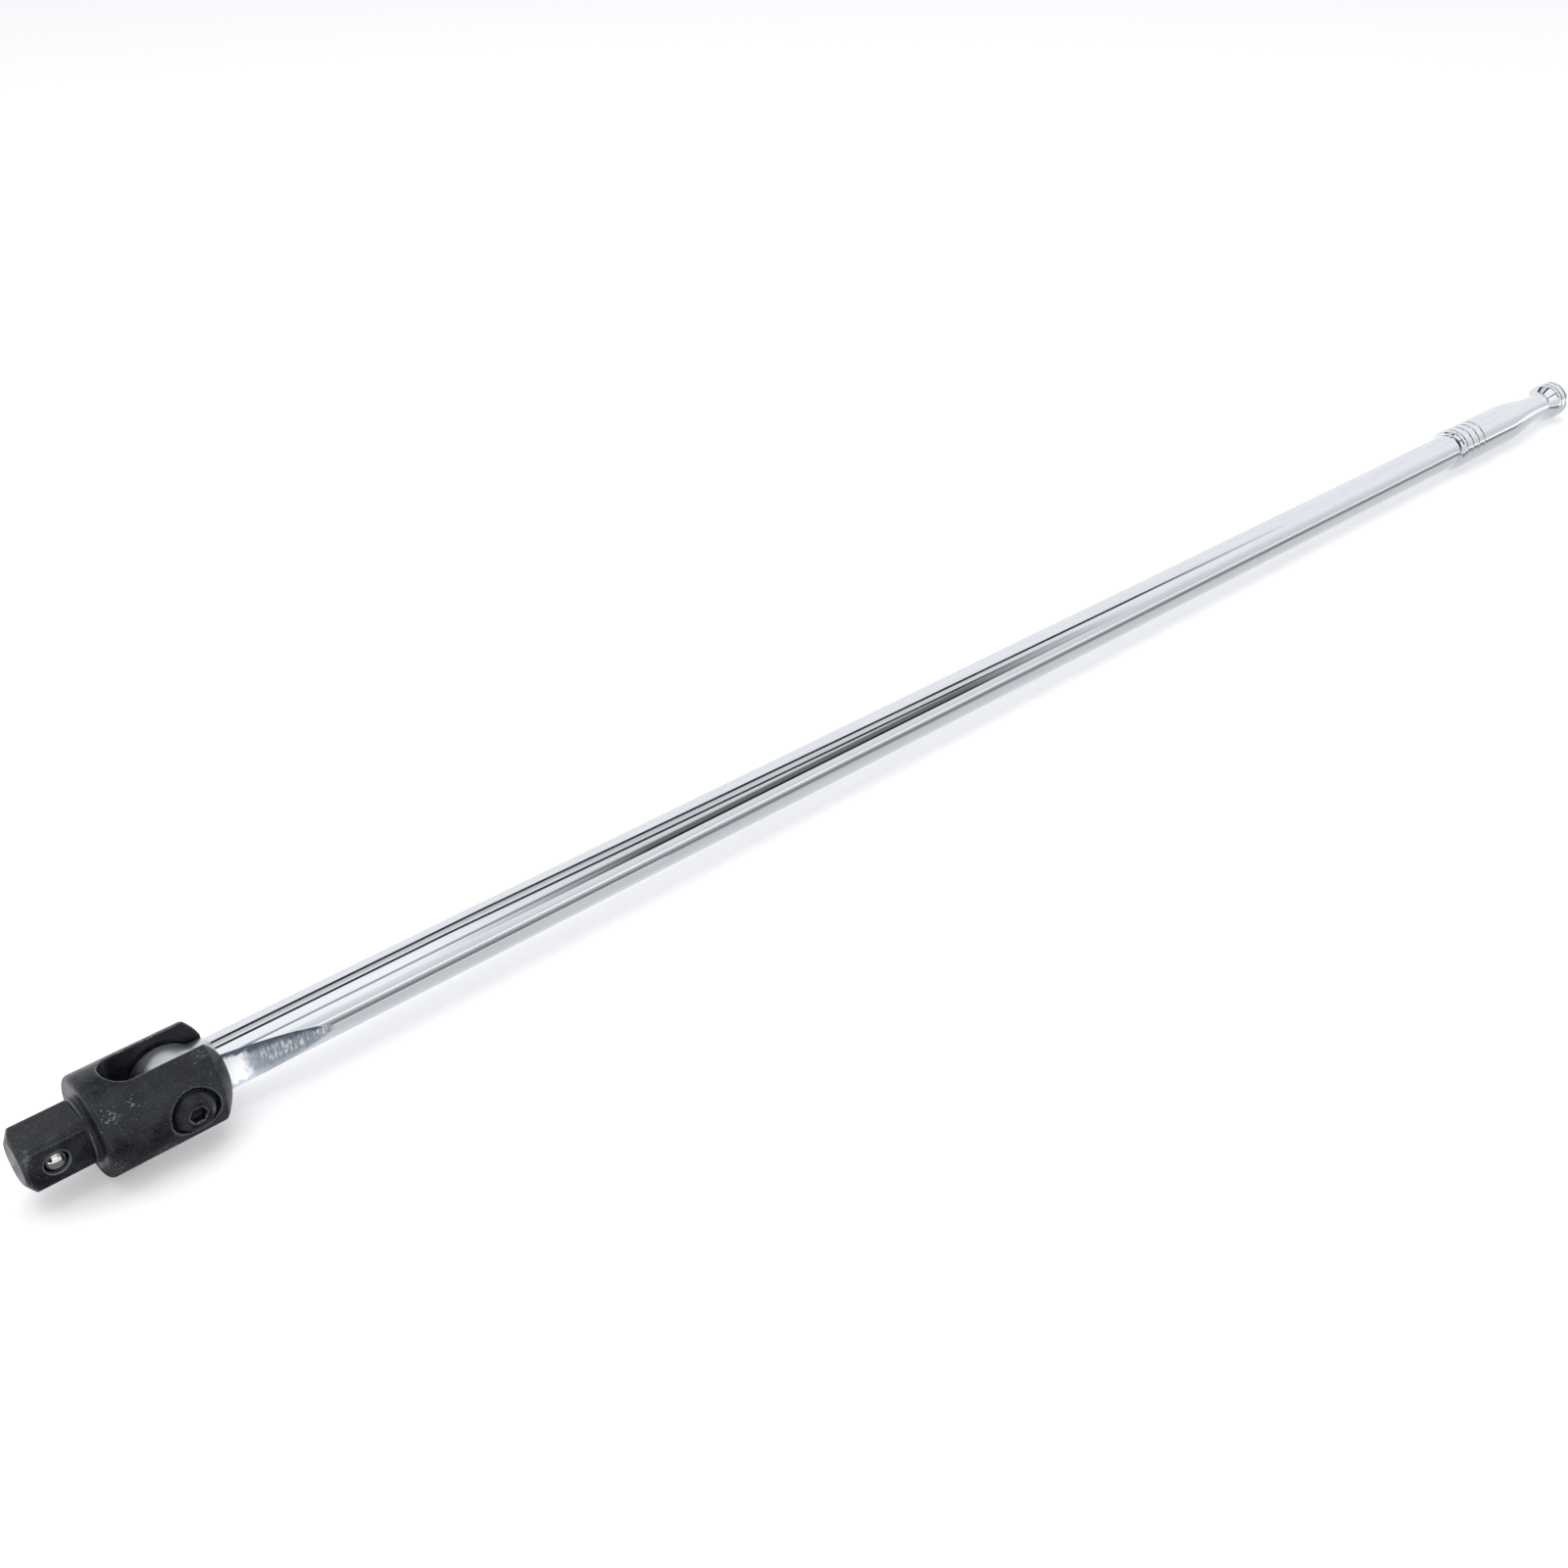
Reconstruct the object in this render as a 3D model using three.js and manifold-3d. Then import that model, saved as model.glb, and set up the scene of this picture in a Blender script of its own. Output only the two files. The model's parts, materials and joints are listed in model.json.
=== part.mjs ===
// Breaker bar: a 1/2 inch square drive on a hinged head, at the end of a long plain bar.
//
// Millimetres. The origin is the centre of the drive's end face, +X runs along the bar to the hand
// end, +Y along the hinge pivot (the detent ball looks along -Y), and +Z up.

import * as THREE from 'three';
import { mergeVertices } from 'three/addons/utils/BufferGeometryUtils.js';
import Module from 'manifold-3d';

const wasm = await Module();
wasm.setup();

// ---- driving dimensions ---------------------------------------------------------------------

const OVERALL_LENGTH = 750;

// drive square
const SQUARE_FLATS = 12.7;
const SQUARE_CORNER = 1.1;
const SQUARE_LENGTH = 16.8;
const TIP_INSET = 0.75;
const TIP_CHAMFER = 1.8;
const BASE_RING_STEP = 0.1;
const BASE_RING_LENGTH = 1.4;
const BASE_RING_BREAK = 0.25;

// hinged head
const HEAD_DIAMETER = 26.7;
const HEAD_LENGTH = 32.7;
const FRONT_ROUNDING = 1.4;
const REAR_DOME_LENGTH = 3.5;
const REAR_FACE_DIAMETER = 16.6;
const SLOT_WIDTH = 11;
const PIVOT_TO_SLOT_END = 15.3;
const PIVOT_TO_REAR_FACE = 11.3;

// detent ball, its spring and their bore
const BALL_DIAMETER = 5.2;
const BALL_PROTRUSION = 0.7;
const BALL_FROM_TIP = 7.4;
const BALL_MOUTH_DEPTH = 0.6;
const BALL_MOUTH_BREAK = 0.25;
const BALL_LIP_THICKNESS = 0.3;
const BALL_BORE_END_WALL = 3.75;
const SPRING_WIRE = 0.6;
const SPRING_COILS = 4.5;

// pivot screw
const SCREW_HEAD_DIAMETER = 10.5;
const SCREW_HEAD_HEIGHT = 3.2;
const SCREW_HEAD_SIDE = 0.8;
const SCREW_SHOULDER_DIAMETER = 8;
const SCREW_THREAD_DIAMETER = 6;
const SCREW_TIP_RECESS = 0.6;
const SCREW_TIP_BREAK = 0.6;
const SHOULDER_PILOT_DEPTH = 1.6;
const HEX_SOCKET_FLATS = 4;
const HEX_SOCKET_DEPTH = 2;
const HEX_SOCKET_RIM = 0.5;
const COUNTERBORE_DEPTH = 2.5;

// friction washers, one on each side of the tongue
const WASHER_DIAMETER = 15.5;
const WASHER_THICKNESS = 0.4;

// bar
const BAR_DIAMETER = 15.2;
const NECK_REDUCTION = 0.2;
const NECK_TAPER_LENGTH = 70;
const EYE_DIAMETER = 18;
const EYE_CHAMFER = 0.6;
const FLAT_OVERRUN = 0.3;
const FLAT_RUN_OUT = 28;

// turned end grip, pressed on a spigot of the bar
const GRIP_LENGTH = 103;
const COLLAR_HEIGHT = 1.4;
const COLLAR_LIP = 0.3;
const BEAD_LENGTH = 2.9;
const COLLAR_GROOVES = 4;
const COLLAR_PITCH = 5.1;
const GROOVE_WIDTH = 1.3;
const GROOVE_DEPTH = 0.5;
const HOLD_LENGTH = 27.5;
const WAIST_DIAMETER = 11.6;
const WAIST_TO_END = 16;
const KNOB_DIAMETER = 17.1;
const KNOB_LENGTH = 9.2;
const KNOB_GROOVES = 2;
const KNOB_PITCH = 3.9;
const END_ROUNDING = 2;
const SPIGOT_DIAMETER = 11;
const SPIGOT_LENGTH = 46;
const SPIGOT_BREAK = 0.8;

// clearances, each on one side
const RUNNING_CLEARANCE = 0.3;
const SEAT_GAP = 0.2;
const WASHER_PLAY = 0.25;
const BALL_BORE_CLEARANCE = 0.2;
const BALL_MOUTH_CLEARANCE = 0.45;
const BALL_LIP_CLEARANCE = 0.12;
const SPRING_CLEARANCE = 0.7;
const COUNTERBORE_CLEARANCE = 0.9;

const ROUND_SEGMENTS = 64;
const SMALL_SEGMENTS = 40;

// ---- sizes and places worked out from the driving dimensions ----------------------------------

const FLAT_Y = SQUARE_FLATS / 2;
const CORNER_RADIUS = Math.hypot(FLAT_Y, FLAT_Y - SQUARE_CORNER);

const HEAD_RADIUS = HEAD_DIAMETER / 2;
const HEAD_FRONT = SQUARE_LENGTH;
const HEAD_REAR = HEAD_FRONT + HEAD_LENGTH;
const PIVOT_X = HEAD_REAR - PIVOT_TO_REAR_FACE;
const SLOT_END_X = PIVOT_X - PIVOT_TO_SLOT_END;
const CHEEK_INNER = SLOT_WIDTH / 2;

const BALL_RADIUS = BALL_DIAMETER / 2;
const BALL_Y = -FLAT_Y + BALL_RADIUS - BALL_PROTRUSION;
const BALL_BORE_RADIUS = BALL_RADIUS + BALL_BORE_CLEARANCE;
const BALL_BORE_FLOOR_Y = FLAT_Y - BALL_BORE_END_WALL;
const SPRING_RADIUS = BALL_BORE_RADIUS - SPRING_CLEARANCE;

const COUNTERBORE_DIAMETER = SCREW_HEAD_DIAMETER + 2 * COUNTERBORE_CLEARANCE;
const COUNTERBORE_FLOOR_Y = -HEAD_RADIUS + COUNTERBORE_DEPTH;
const PILOT_END_Y = CHEEK_INNER + SHOULDER_PILOT_DEPTH;
const SHOULDER_HOLE_DIAMETER = SCREW_SHOULDER_DIAMETER + 2 * RUNNING_CLEARANCE;
const THREAD_HOLE_DIAMETER = SCREW_THREAD_DIAMETER + 2 * RUNNING_CLEARANCE;

const TONGUE_HALF = CHEEK_INNER - WASHER_THICKNESS - 2 * WASHER_PLAY;
const FLAT_END_X = HEAD_REAR + FLAT_OVERRUN;
const BAR_RADIUS = BAR_DIAMETER / 2;
const NECK_RADIUS = BAR_RADIUS - NECK_REDUCTION;

const GRIP_START_X = OVERALL_LENGTH - GRIP_LENGTH;
const GRIP_RADIUS = BAR_RADIUS + COLLAR_HEIGHT;
const SPIGOT_RADIUS = SPIGOT_DIAMETER / 2;

// ---- solids: closed meshes joined and cut with manifold ---------------------------------------

function toSolid(geometry) {
  const bare = geometry.index ? geometry.toNonIndexed() : geometry.clone();
  bare.deleteAttribute('normal');
  bare.deleteAttribute('uv');
  const merged = mergeVertices(bare, 1e-5);
  const mesh = new wasm.Mesh({
    numProp: 3,
    vertProperties: new Float32Array(merged.attributes.position.array),
    triVerts: new Uint32Array(merged.index.array),
  });
  mesh.merge();
  return new wasm.Manifold(mesh);
}

function toGeometry(solid) {
  const mesh = solid.getMesh();
  const geometry = new THREE.BufferGeometry();
  geometry.setAttribute('position', new THREE.BufferAttribute(mesh.vertProperties, 3));
  geometry.setIndex(new THREE.BufferAttribute(mesh.triVerts, 1));
  return geometry;
}

// A solid of revolution about the line through the origin along X. Each point is [x, radius].
function turnedAboutX(profile, segments = ROUND_SEGMENTS) {
  const points = profile.map(([x, radius]) => new THREE.Vector2(radius, x));
  const lathe = new THREE.LatheGeometry(points, segments);
  lathe.rotateZ(-Math.PI / 2);
  return toSolid(lathe);
}

// A solid of revolution about a line along Y, through (x, 0, 0). Each point is [y, radius].
function turnedAboutY(profile, x, segments = SMALL_SEGMENTS) {
  const points = profile.map(([y, radius]) => new THREE.Vector2(radius, y));
  const lathe = new THREE.LatheGeometry(points, segments);
  lathe.translate(x, 0, 0);
  return toSolid(lathe);
}

// A plain cylinder along Y through (x, 0, 0), between two values of Y in either order.
function cylinderAlongY(x, oneY, otherY, diameter, segments = SMALL_SEGMENTS) {
  const radius = diameter / 2;
  const start = Math.min(oneY, otherY);
  const end = Math.max(oneY, otherY);
  return turnedAboutY([[start, 0], [start, radius], [end, radius], [end, 0]], x, segments);
}

// Points of a circular arc in profile coordinates, from one angle to another in degrees.
function arc(centreX, centreR, radius, fromDegrees, toDegrees, steps) {
  return ellipseArc(centreX, centreR, radius, radius, fromDegrees, toDegrees, steps);
}

function ellipseArc(centreX, centreR, radiusX, radiusR, fromDegrees, toDegrees, steps) {
  return Array.from({ length: steps + 1 }, (_, i) => {
    const angle = THREE.MathUtils.degToRad(THREE.MathUtils.lerp(fromDegrees, toDegrees, i / steps));
    return [centreX + radiusX * Math.cos(angle), centreR + radiusR * Math.sin(angle)];
  });
}

// ---- drive head -------------------------------------------------------------------------------

// Square tang with broken corners, its tip turned down to a cone.
function driveTang() {
  const inner = FLAT_Y - SQUARE_CORNER;
  const outline = new THREE.Shape();
  outline.moveTo(FLAT_Y, inner);
  outline.lineTo(inner, FLAT_Y);
  outline.lineTo(-inner, FLAT_Y);
  outline.lineTo(-FLAT_Y, inner);
  outline.lineTo(-FLAT_Y, -inner);
  outline.lineTo(-inner, -FLAT_Y);
  outline.lineTo(inner, -FLAT_Y);
  outline.lineTo(FLAT_Y, -inner);
  outline.closePath();
  const length = HEAD_FRONT + FRONT_ROUNDING;
  const square = new THREE.ExtrudeGeometry(outline, { depth: length, bevelEnabled: false });
  square.rotateY(Math.PI / 2);
  const cone = turnedAboutX([
    [0, 0],
    [0, FLAT_Y - TIP_INSET],
    [TIP_CHAMFER, CORNER_RADIUS],
    [TIP_CHAMFER, CORNER_RADIUS + 1],
    [length, CORNER_RADIUS + 1],
    [length, 0],
  ]);
  return toSolid(square).intersect(cone);
}

// The round body of the head, with the turned ring that the square stands on and a domed rear end.
function headBlank() {
  const ringRadius = CORNER_RADIUS + BASE_RING_STEP;
  const ringStart = HEAD_FRONT - BASE_RING_LENGTH;
  return turnedAboutX([
    [ringStart, 0],
    [ringStart, ringRadius - BASE_RING_BREAK],
    [ringStart + BASE_RING_BREAK, ringRadius],
    [HEAD_FRONT, ringRadius],
    ...arc(HEAD_FRONT + FRONT_ROUNDING, HEAD_RADIUS - FRONT_ROUNDING, FRONT_ROUNDING, 180, 90, 5),
    ...rearDome(),
    [HEAD_REAR, 0],
  ]);
}

// An arc centred on the axis, from the outside of the head to the rim of its rear face.
function rearDome() {
  const faceRadius = REAR_FACE_DIAMETER / 2;
  const rise = HEAD_RADIUS ** 2 - faceRadius ** 2;
  const faceToCentre = (REAR_DOME_LENGTH ** 2 + rise) / (2 * REAR_DOME_LENGTH);
  const radius = Math.hypot(faceToCentre, faceRadius);
  const fromDegrees = THREE.MathUtils.radToDeg(Math.asin(HEAD_RADIUS / radius));
  const toDegrees = THREE.MathUtils.radToDeg(Math.asin(faceRadius / radius));
  return arc(HEAD_REAR - faceToCentre, 0, radius, fromDegrees, toDegrees, 5);
}

// The slot that the tongue swings in: open at the top, the bottom and the rear, round in front.
function tongueSlot() {
  const outline = new THREE.Shape();
  outline.moveTo(HEAD_REAR + 1, -CHEEK_INNER);
  outline.lineTo(HEAD_REAR + 1, CHEEK_INNER);
  outline.lineTo(SLOT_END_X + CHEEK_INNER, CHEEK_INNER);
  outline.absarc(SLOT_END_X + CHEEK_INNER, 0, CHEEK_INNER, Math.PI / 2, 1.5 * Math.PI, false);
  outline.closePath();
  const depth = HEAD_DIAMETER + 2;
  const slot = new THREE.ExtrudeGeometry(outline, { depth, bevelEnabled: false, curveSegments: 16 });
  slot.translate(0, 0, -depth / 2);
  return toSolid(slot);
}

function pivotHoles() {
  const outside = HEAD_RADIUS + 1;
  return cylinderAlongY(PIVOT_X, -outside, COUNTERBORE_FLOOR_Y, COUNTERBORE_DIAMETER, ROUND_SEGMENTS)
    .add(cylinderAlongY(PIVOT_X, -outside, PILOT_END_Y, SHOULDER_HOLE_DIAMETER))
    .add(cylinderAlongY(PIVOT_X, 0, outside, THREAD_HOLE_DIAMETER));
}

// Blind bore for the ball and its spring: an open mouth, then a staked lip that keeps the ball in.
function ballBore() {
  const mouth = BALL_RADIUS + BALL_MOUTH_CLEARANCE;
  const lipFrontY = -FLAT_Y + BALL_MOUTH_DEPTH;
  const lipBackY = lipFrontY + BALL_LIP_THICKNESS;
  const lip = Math.sqrt(BALL_RADIUS ** 2 - (BALL_Y - lipBackY) ** 2) + BALL_LIP_CLEARANCE;
  return turnedAboutY([
    [-FLAT_Y - 1, 0],
    [-FLAT_Y - 1, mouth + BALL_MOUTH_BREAK],
    [-FLAT_Y, mouth + BALL_MOUTH_BREAK],
    [-FLAT_Y + BALL_MOUTH_BREAK, mouth],
    [lipFrontY, mouth],
    [lipFrontY, lip],
    [lipBackY, lip],
    [lipBackY, BALL_BORE_RADIUS],
    [BALL_BORE_FLOOR_Y, BALL_BORE_RADIUS],
    [BALL_BORE_FLOOR_Y, 0],
  ], BALL_FROM_TIP);
}

function driveHead() {
  return headBlank()
    .add(driveTang())
    .subtract(tongueSlot())
    .subtract(pivotHoles())
    .subtract(ballBore());
}

// ---- detent -----------------------------------------------------------------------------------

function detentBall() {
  const ball = new THREE.SphereGeometry(BALL_RADIUS, 24, 14);
  ball.translate(BALL_FROM_TIP, BALL_Y, 0);
  return toSolid(ball);
}

// The coil spring between the back of the ball and the floor of the bore.
function detentSpring() {
  const ballReach = Math.sqrt(BALL_RADIUS ** 2 - (SPRING_RADIUS - SPRING_WIRE) ** 2);
  const front = BALL_Y + ballReach + SEAT_GAP;
  const back = BALL_BORE_FLOOR_Y - SEAT_GAP;
  const pitch = (back - front - SPRING_WIRE) / SPRING_COILS;
  return coil(SPRING_RADIUS - SPRING_WIRE / 2, front + SPRING_WIRE / 2, pitch);
}

// A round wire wound into a helix along Y.
function coil(radius, startY, pitch) {
  class Helix extends THREE.Curve {
    getPoint(t, target = new THREE.Vector3()) {
      const angle = 2 * Math.PI * SPRING_COILS * t;
      return target.set(
        BALL_FROM_TIP + radius * Math.cos(angle),
        startY + pitch * SPRING_COILS * t,
        radius * Math.sin(angle),
      );
    }
  }
  const section = new THREE.Shape();
  section.absarc(0, 0, SPRING_WIRE / 2, 0, 2 * Math.PI, false);
  const wire = new THREE.ExtrudeGeometry(section, {
    steps: Math.round(16 * SPRING_COILS),
    curveSegments: 4,
    extrudePath: new Helix(),
    bevelEnabled: false,
  });
  return toSolid(wire);
}

// ---- pivot screw and washers --------------------------------------------------------------------

// A button-head shoulder screw: it pivots on the shoulder and its thread ends inside the far cheek.
function pivotScrew() {
  const headRadius = SCREW_HEAD_DIAMETER / 2;
  const seatY = COUNTERBORE_FLOOR_Y - SEAT_GAP;
  const topY = seatY - SCREW_HEAD_HEIGHT;
  const domeHeight = SCREW_HEAD_HEIGHT - SCREW_HEAD_SIDE;
  const hexRadius = HEX_SOCKET_FLATS / Math.sqrt(3);
  const topRadius = hexRadius + HEX_SOCKET_RIM;
  const shoulder = SCREW_SHOULDER_DIAMETER / 2;
  const shoulderY = PILOT_END_Y - SEAT_GAP;
  const thread = SCREW_THREAD_DIAMETER / 2;
  const tipY = HEAD_RADIUS - SCREW_TIP_RECESS;
  const blank = turnedAboutY([
    [topY, 0],
    ...ellipseArc(topY + domeHeight, topRadius, domeHeight, headRadius - topRadius, 180, 90, 8),
    [seatY, headRadius],
    [seatY, shoulder],
    [shoulderY, shoulder],
    [shoulderY, thread],
    [tipY - SCREW_TIP_BREAK, thread],
    [tipY, thread - SCREW_TIP_BREAK],
    [tipY, 0],
  ], PIVOT_X);
  const socket = new THREE.CylinderGeometry(hexRadius, hexRadius, HEX_SOCKET_DEPTH + 1, 6);
  socket.translate(PIVOT_X, topY + (HEX_SOCKET_DEPTH - 1) / 2, 0);
  return blank.subtract(toSolid(socket));
}

function frictionWasher(side) {
  const near = side * (TONGUE_HALF + WASHER_PLAY);
  const far = side * (CHEEK_INNER - WASHER_PLAY);
  const disc = cylinderAlongY(PIVOT_X, near, far, WASHER_DIAMETER);
  return disc.subtract(cylinderAlongY(PIVOT_X, 0, side * SLOT_WIDTH, SHOULDER_HOLE_DIAMETER));
}

// ---- bar ----------------------------------------------------------------------------------------

// The round bar: a slightly drawn-in neck behind the pivot and a spigot inside the end grip.
function barRound() {
  const spigotEnd = GRIP_START_X + SPIGOT_LENGTH;
  return turnedAboutX([
    [PIVOT_X, 0],
    [PIVOT_X, NECK_RADIUS],
    [FLAT_END_X, NECK_RADIUS],
    [FLAT_END_X + NECK_TAPER_LENGTH, BAR_RADIUS],
    [GRIP_START_X - SEAT_GAP, BAR_RADIUS],
    [GRIP_START_X - SEAT_GAP, SPIGOT_RADIUS],
    [spigotEnd - SPIGOT_BREAK, SPIGOT_RADIUS],
    [spigotEnd, SPIGOT_RADIUS - SPIGOT_BREAK],
    [spigotEnd, 0],
  ]);
}

// The round eye about the pivot, its rims broken by a small chamfer.
function tongueEye() {
  const radius = EYE_DIAMETER / 2;
  return turnedAboutY([
    [-TONGUE_HALF, 0],
    [-TONGUE_HALF, radius - EYE_CHAMFER],
    [-TONGUE_HALF + EYE_CHAMFER, radius],
    [TONGUE_HALF - EYE_CHAMFER, radius],
    [TONGUE_HALF, radius - EYE_CHAMFER],
    [TONGUE_HALF, 0],
  ], PIVOT_X, ROUND_SEGMENTS);
}

// What is cut from each side of the round: a flat level with the tongue, running out on a slope.
function tongueFlat(side) {
  const y = side * TONGUE_HALF;
  const slope = side * (BAR_RADIUS - TONGUE_HALF) / FLAT_RUN_OUT;
  const outside = side * BAR_DIAMETER;
  const outsideX = FLAT_END_X + (outside - y) / slope;
  const outline = new THREE.Shape();
  outline.moveTo(PIVOT_X - EYE_DIAMETER, y);
  outline.lineTo(FLAT_END_X, y);
  outline.lineTo(outsideX, outside);
  outline.lineTo(PIVOT_X - EYE_DIAMETER, outside);
  outline.closePath();
  const depth = 2 * BAR_DIAMETER;
  const cut = new THREE.ExtrudeGeometry(outline, { depth, bevelEnabled: false });
  cut.translate(0, 0, -depth / 2);
  return toSolid(cut);
}

function handleBar() {
  const bore = cylinderAlongY(PIVOT_X, -SLOT_WIDTH, SLOT_WIDTH, SHOULDER_HOLE_DIAMETER);
  return barRound()
    .subtract(tongueFlat(1))
    .subtract(tongueFlat(-1))
    .add(tongueEye())
    .subtract(bore);
}

// ---- end grip -------------------------------------------------------------------------------------

function groove(centre, radius) {
  return ellipseArc(centre, radius, GROOVE_WIDTH / 2, GROOVE_DEPTH, 180, 360, 4);
}

function grooveRow(first, count, pitch, radius) {
  return Array.from({ length: count }, (_, i) => groove(first + i * pitch, radius)).flat();
}

// A smooth step between two radii: half a cosine wave.
function waveStep(fromX, toX, fromRadius, toRadius, steps) {
  return Array.from({ length: steps + 1 }, (_, i) => {
    const t = i / steps;
    const share = (1 - Math.cos(Math.PI * t)) / 2;
    return [THREE.MathUtils.lerp(fromX, toX, t), THREE.MathUtils.lerp(fromRadius, toRadius, share)];
  });
}

// A bead and a grooved collar, a plain hold, a long taper to the waist, and a grooved knob.
function gripOutline() {
  const front = BAR_RADIUS + COLLAR_LIP;
  const waist = WAIST_DIAMETER / 2;
  const knob = KNOB_DIAMETER / 2;
  const beadEnd = GRIP_START_X + BEAD_LENGTH;
  const firstGroove = beadEnd + GROOVE_WIDTH / 2;
  const lastGroove = firstGroove + (COLLAR_GROOVES - 1) * COLLAR_PITCH;
  const waistX = OVERALL_LENGTH - WAIST_TO_END;
  const knobX = OVERALL_LENGTH - KNOB_LENGTH;
  return [
    [GRIP_START_X, front],
    ...ellipseArc(beadEnd, front, BEAD_LENGTH, GRIP_RADIUS - front, 165, 90, 6),
    ...grooveRow(firstGroove, COLLAR_GROOVES, COLLAR_PITCH, GRIP_RADIUS),
    ...waveStep(lastGroove + HOLD_LENGTH, waistX, GRIP_RADIUS, waist, 12),
    ...waveStep(waistX, knobX, waist, knob, 8).slice(1),
    ...grooveRow(knobX + GROOVE_WIDTH, KNOB_GROOVES, KNOB_PITCH, knob),
    ...arc(OVERALL_LENGTH - END_ROUNDING, knob - END_ROUNDING, END_ROUNDING, 90, 0, 5),
    [OVERALL_LENGTH, 0],
  ];
}

function endGrip() {
  const bore = SPIGOT_RADIUS + SEAT_GAP;
  const boreEnd = GRIP_START_X + SPIGOT_LENGTH + SEAT_GAP;
  return turnedAboutX([
    [boreEnd, 0],
    [boreEnd, bore],
    [GRIP_START_X, bore],
    ...gripOutline(),
  ], SMALL_SEGMENTS);
}

// ---- the assembly -----------------------------------------------------------------------------------

const blackSteel = { color: 0x3a3f47, roughness: 0.42, metalness: 0.85 };
const chrome = { color: 0xdfe3e8, roughness: 0.08, metalness: 1 };
const bareSteel = { color: 0xb4b6b8, roughness: 0.3, metalness: 1 };

const breakerBar = new THREE.Group();

function place(name, solid, look) {
  const mesh = new THREE.Mesh(toGeometry(solid), new THREE.MeshStandardMaterial(look));
  mesh.name = name;
  breakerBar.add(mesh);
}

place('drive_head', driveHead(), blackSteel);
place('detent_ball', detentBall(), chrome);
place('detent_spring', detentSpring(), bareSteel);
place('pivot_screw', pivotScrew(), blackSteel);
place('friction_washer_near', frictionWasher(-1), bareSteel);
place('friction_washer_far', frictionWasher(1), bareSteel);
place('handle_bar', handleBar(), chrome);
place('end_grip', endGrip(), chrome);

export default breakerBar;
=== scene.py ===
import json
import math

import bmesh
import bpy
import numpy as np
from mathutils import Matrix, Vector


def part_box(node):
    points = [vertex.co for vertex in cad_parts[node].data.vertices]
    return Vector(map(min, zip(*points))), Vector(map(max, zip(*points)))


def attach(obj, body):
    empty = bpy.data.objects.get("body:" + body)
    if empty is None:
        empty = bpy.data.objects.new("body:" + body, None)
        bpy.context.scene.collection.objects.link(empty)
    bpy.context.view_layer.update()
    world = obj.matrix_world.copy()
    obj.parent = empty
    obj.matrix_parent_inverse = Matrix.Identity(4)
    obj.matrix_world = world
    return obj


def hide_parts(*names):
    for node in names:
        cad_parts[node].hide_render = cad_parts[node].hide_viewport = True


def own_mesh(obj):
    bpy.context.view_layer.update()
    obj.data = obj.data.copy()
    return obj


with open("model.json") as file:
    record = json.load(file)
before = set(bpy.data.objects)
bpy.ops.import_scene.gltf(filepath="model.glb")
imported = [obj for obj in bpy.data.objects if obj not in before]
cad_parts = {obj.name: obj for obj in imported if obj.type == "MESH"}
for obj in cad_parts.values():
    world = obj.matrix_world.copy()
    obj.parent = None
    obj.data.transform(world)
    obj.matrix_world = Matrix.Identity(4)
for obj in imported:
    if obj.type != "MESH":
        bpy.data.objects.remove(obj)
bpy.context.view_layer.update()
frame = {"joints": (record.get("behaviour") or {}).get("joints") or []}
scene = bpy.context.scene

# ---- Camera ---------------------------------------------------------------------------------
# It stands in front of the drive end and a little above, and looks along the bar, so that the
# bar runs away to the upper right.

camera = bpy.data.objects.new("camera", bpy.data.cameras.new("camera"))
scene.collection.objects.link(camera)
scene.camera = camera
scene.view_settings.view_transform = "Standard"
camera.data.sensor_width = 36
camera.data.lens = 38.31
camera.data.clip_start = 0.01
camera_right = Vector((0.7322, -0.6810, -0.0121))
camera_up = Vector((0.3659, 0.3782, 0.8504))
camera_back = camera_right.cross(camera_up)
turn = Matrix((camera_right, camera_up, camera_back)).transposed().to_4x4()
camera.matrix_world = Matrix.Translation((-0.0584, -0.3256, 0.2720)) @ turn

# ---- Drive head -----------------------------------------------------------------------------
# One steel forging, turned and milled: a 1/2 inch square with a turned tip, a ring at its root,
# and a round body with a domed rear. A slot for the bar's tongue splits the body into two cheeks.
# It is blackened, and its edges are worn.

PHOSPHATE = (0.0040, 0.0052, 0.0075)
DRY_PHOSPHATE = (0.0180, 0.0212, 0.0275)
DUST = (0.055, 0.061, 0.071)
# The worn steel colour is also used for a painted highlight round the rim of the ball's seat.
WORN_STEEL_AND_PAINTED_HIGHLIGHT = (0.34, 0.36, 0.39)
SQUARE_HALF = 0.00635
SQUARE_LENGTH = 0.0168
SQUARE_CORNER = 0.0011
TIP_INSET = 0.00075
TIP_LENGTH = 0.0018
TANG_START = 0.0025
TANG_END = 0.0185
RING_LENGTH = 0.0014
RING_CHAMFER = 0.00025
FRONT_ROUNDING = 0.0014
BODY_START = 0.0195
BODY_END = 0.0445
DOME_LENGTH = 0.0035
REAR_FACE_RADIUS = 0.0083
SLOT_HALF = 0.0055
SLOT_FRONT = 0.0229
COUNTERBORE_RADIUS = 0.00615
COUNTERBORE_DEPTH = 0.0025
SHOULDER_HOLE_RADIUS = 0.0042
PILOT_DEPTH = 0.0016
THREAD_HOLE_RADIUS = 0.0031
BALL_X = 0.0074
BALL_SEAT_RADIUS = 0.0030
BALL_BORE_END = 0.0026
CUT_PAST = 0.001
EDGE_SOFTNESS = 0.00026
# Centre, reach and strength of each patch of scuffs.
SCUFFS = (
    ((0.0205, -0.0103, 0.0085), 0.0034, 1.0),
    ((0.0255, -0.0098, 0.0091), 0.0020, 0.9),
    ((0.0440, -0.0075, 0.0111), 0.0030, 0.8),
    ((0.0180, -0.0120, -0.0050), 0.0050, 0.8),
    ((0.0300, -0.0110, -0.0076), 0.0060, 0.7),
    ((0.0012, -0.0062, 0.0040), 0.0024, 1.0),
)

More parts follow.
